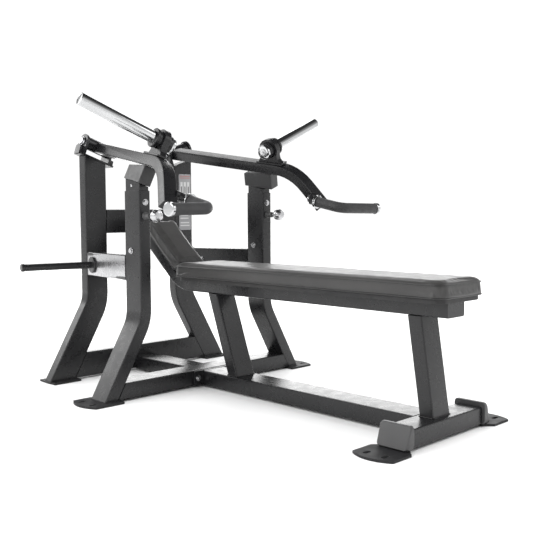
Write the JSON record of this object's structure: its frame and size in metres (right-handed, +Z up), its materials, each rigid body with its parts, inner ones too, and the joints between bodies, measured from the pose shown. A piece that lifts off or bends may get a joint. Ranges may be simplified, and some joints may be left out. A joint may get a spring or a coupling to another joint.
{
  "type": "chest press machine",
  "caption": "Plate-loaded lying chest press: flat padded bench, splayed press frame, converging lever arms with weight horns and hand grips.",
  "frame": {"origin": "middle of the footprint on the floor (bottom centre of the bounding box)", "axes": "+Z up, +Y towards the rear of the press frame, -Y towards the foot end of the bench, +X the user's left when lying, called the right side here; X = 0 is the symmetry plane"},
  "size_m": [1.2228, 1.736, 1.1177],
  "materials": {
    "black_paint": "satin black powder coat",
    "chrome": "polished chrome plate",
    "bright_steel": "bright zinc-plated or polished steel",
    "pad_vinyl": "matte black grained vinyl upholstery",
    "pad_board": "black-stained plywood",
    "grip_rubber": "matte black rubber sleeve",
    "stop_rubber": "moulded black rubber",
    "black_plastic": "moulded black plastic",
    "placard": "grey printed plate, no text"
  },
  "bodies": {
    "frame": {"front_crosstube": "black_paint", "rear_crosstube": "black_paint", "upper_crosstube": "black_paint", "base_beam_front": "black_paint", "base_beam_rear": "black_paint", "foot_crossmember": "black_paint", "bench_tube": "black_paint", "head_post": "black_paint", "foot_post": "black_paint", "bench_board": "pad_board", "bench_pad": "pad_vinyl", "head_bracket": "black_paint", "head_pad": "pad_vinyl", "placard": "placard", "front_upright_left": "black_paint", "front_upright_right": "black_paint", "rear_upright_left": "black_paint", "rear_upright_right": "black_paint", "side_brace_left": "black_paint", "side_brace_right": "black_paint", "storage_peg_left": "black_paint", "storage_peg_right": "black_paint", "front_foot_left": "black_paint", "front_foot_right": "black_paint", "rear_foot_left": "black_paint", "rear_foot_right": "black_paint", "bench_foot_left": "black_paint", "bench_foot_right": "black_paint", "foot_end_cap_left": "black_plastic", "foot_end_cap_right": "black_plastic", "pivot_bracket_left": "black_paint", "pivot_bracket_right": "black_paint", "pivot_axle_left": "bright_steel", "pivot_axle_right": "bright_steel", "pin_housing_left": "black_plastic", "pin_housing_right": "black_plastic", "brace_bolt_left": "bright_steel", "brace_bolt_right": "bright_steel", "flange_bolt_left": "bright_steel", "flange_bolt_right": "bright_steel"},
    "arm_left": {"arm_tube_left": "black_paint", "arm_hub_left": "black_paint", "horn_bracket_left": "black_paint", "horn_barrel_left": "black_paint", "weight_horn_left": "chrome", "handle_bar_left": "chrome", "handle_grip_left": "grip_rubber"},
    "stop_left": {"stop_post_left": "black_paint", "stop_saddle_left": "stop_rubber"},
    "pin_left": {"pull_pin_left": "bright_steel"},
    "arm_right": {"arm_tube_right": "black_paint", "arm_hub_right": "black_paint", "horn_bracket_right": "black_paint", "horn_barrel_right": "black_paint", "weight_horn_right": "chrome", "handle_bar_right": "chrome", "handle_grip_right": "grip_rubber"},
    "stop_right": {"stop_post_right": "black_paint", "stop_saddle_right": "stop_rubber"},
    "pin_right": {"pull_pin_right": "bright_steel"}
  },
  "joints": [
    {"name": "arm_left_lift", "type": "hinge", "parent": "frame", "child": "arm_left", "pos_m": [-0.2904, 0.8005, 1.0064], "axis": [-0.9449, 0, 0.3272], "range_deg": [0, 38]},
    {"name": "stop_left_height", "type": "slide", "parent": "frame", "child": "stop_left", "axis": [0, 0, 1], "range_m": [-0.014, 0]},
    {"name": "pin_left_pull", "type": "slide", "parent": "frame", "child": "pin_left", "axis": [0, -1, 0], "range_m": [0, 0.012], "stiffness_N_per_m": 900, "springref_m": -0.004},
    {"name": "arm_right_lift", "type": "hinge", "parent": "frame", "child": "arm_right", "pos_m": [0.2904, 0.8005, 1.0064], "axis": [-0.9449, 0, -0.3272], "range_deg": [0, 38]},
    {"name": "stop_right_height", "type": "slide", "parent": "frame", "child": "stop_right", "axis": [0, 0, 1], "range_m": [-0.014, 0]},
    {"name": "pin_right_pull", "type": "slide", "parent": "frame", "child": "pin_right", "axis": [0, -1, 0], "range_m": [0, 0.012], "stiffness_N_per_m": 900, "springref_m": -0.004}
  ]
}
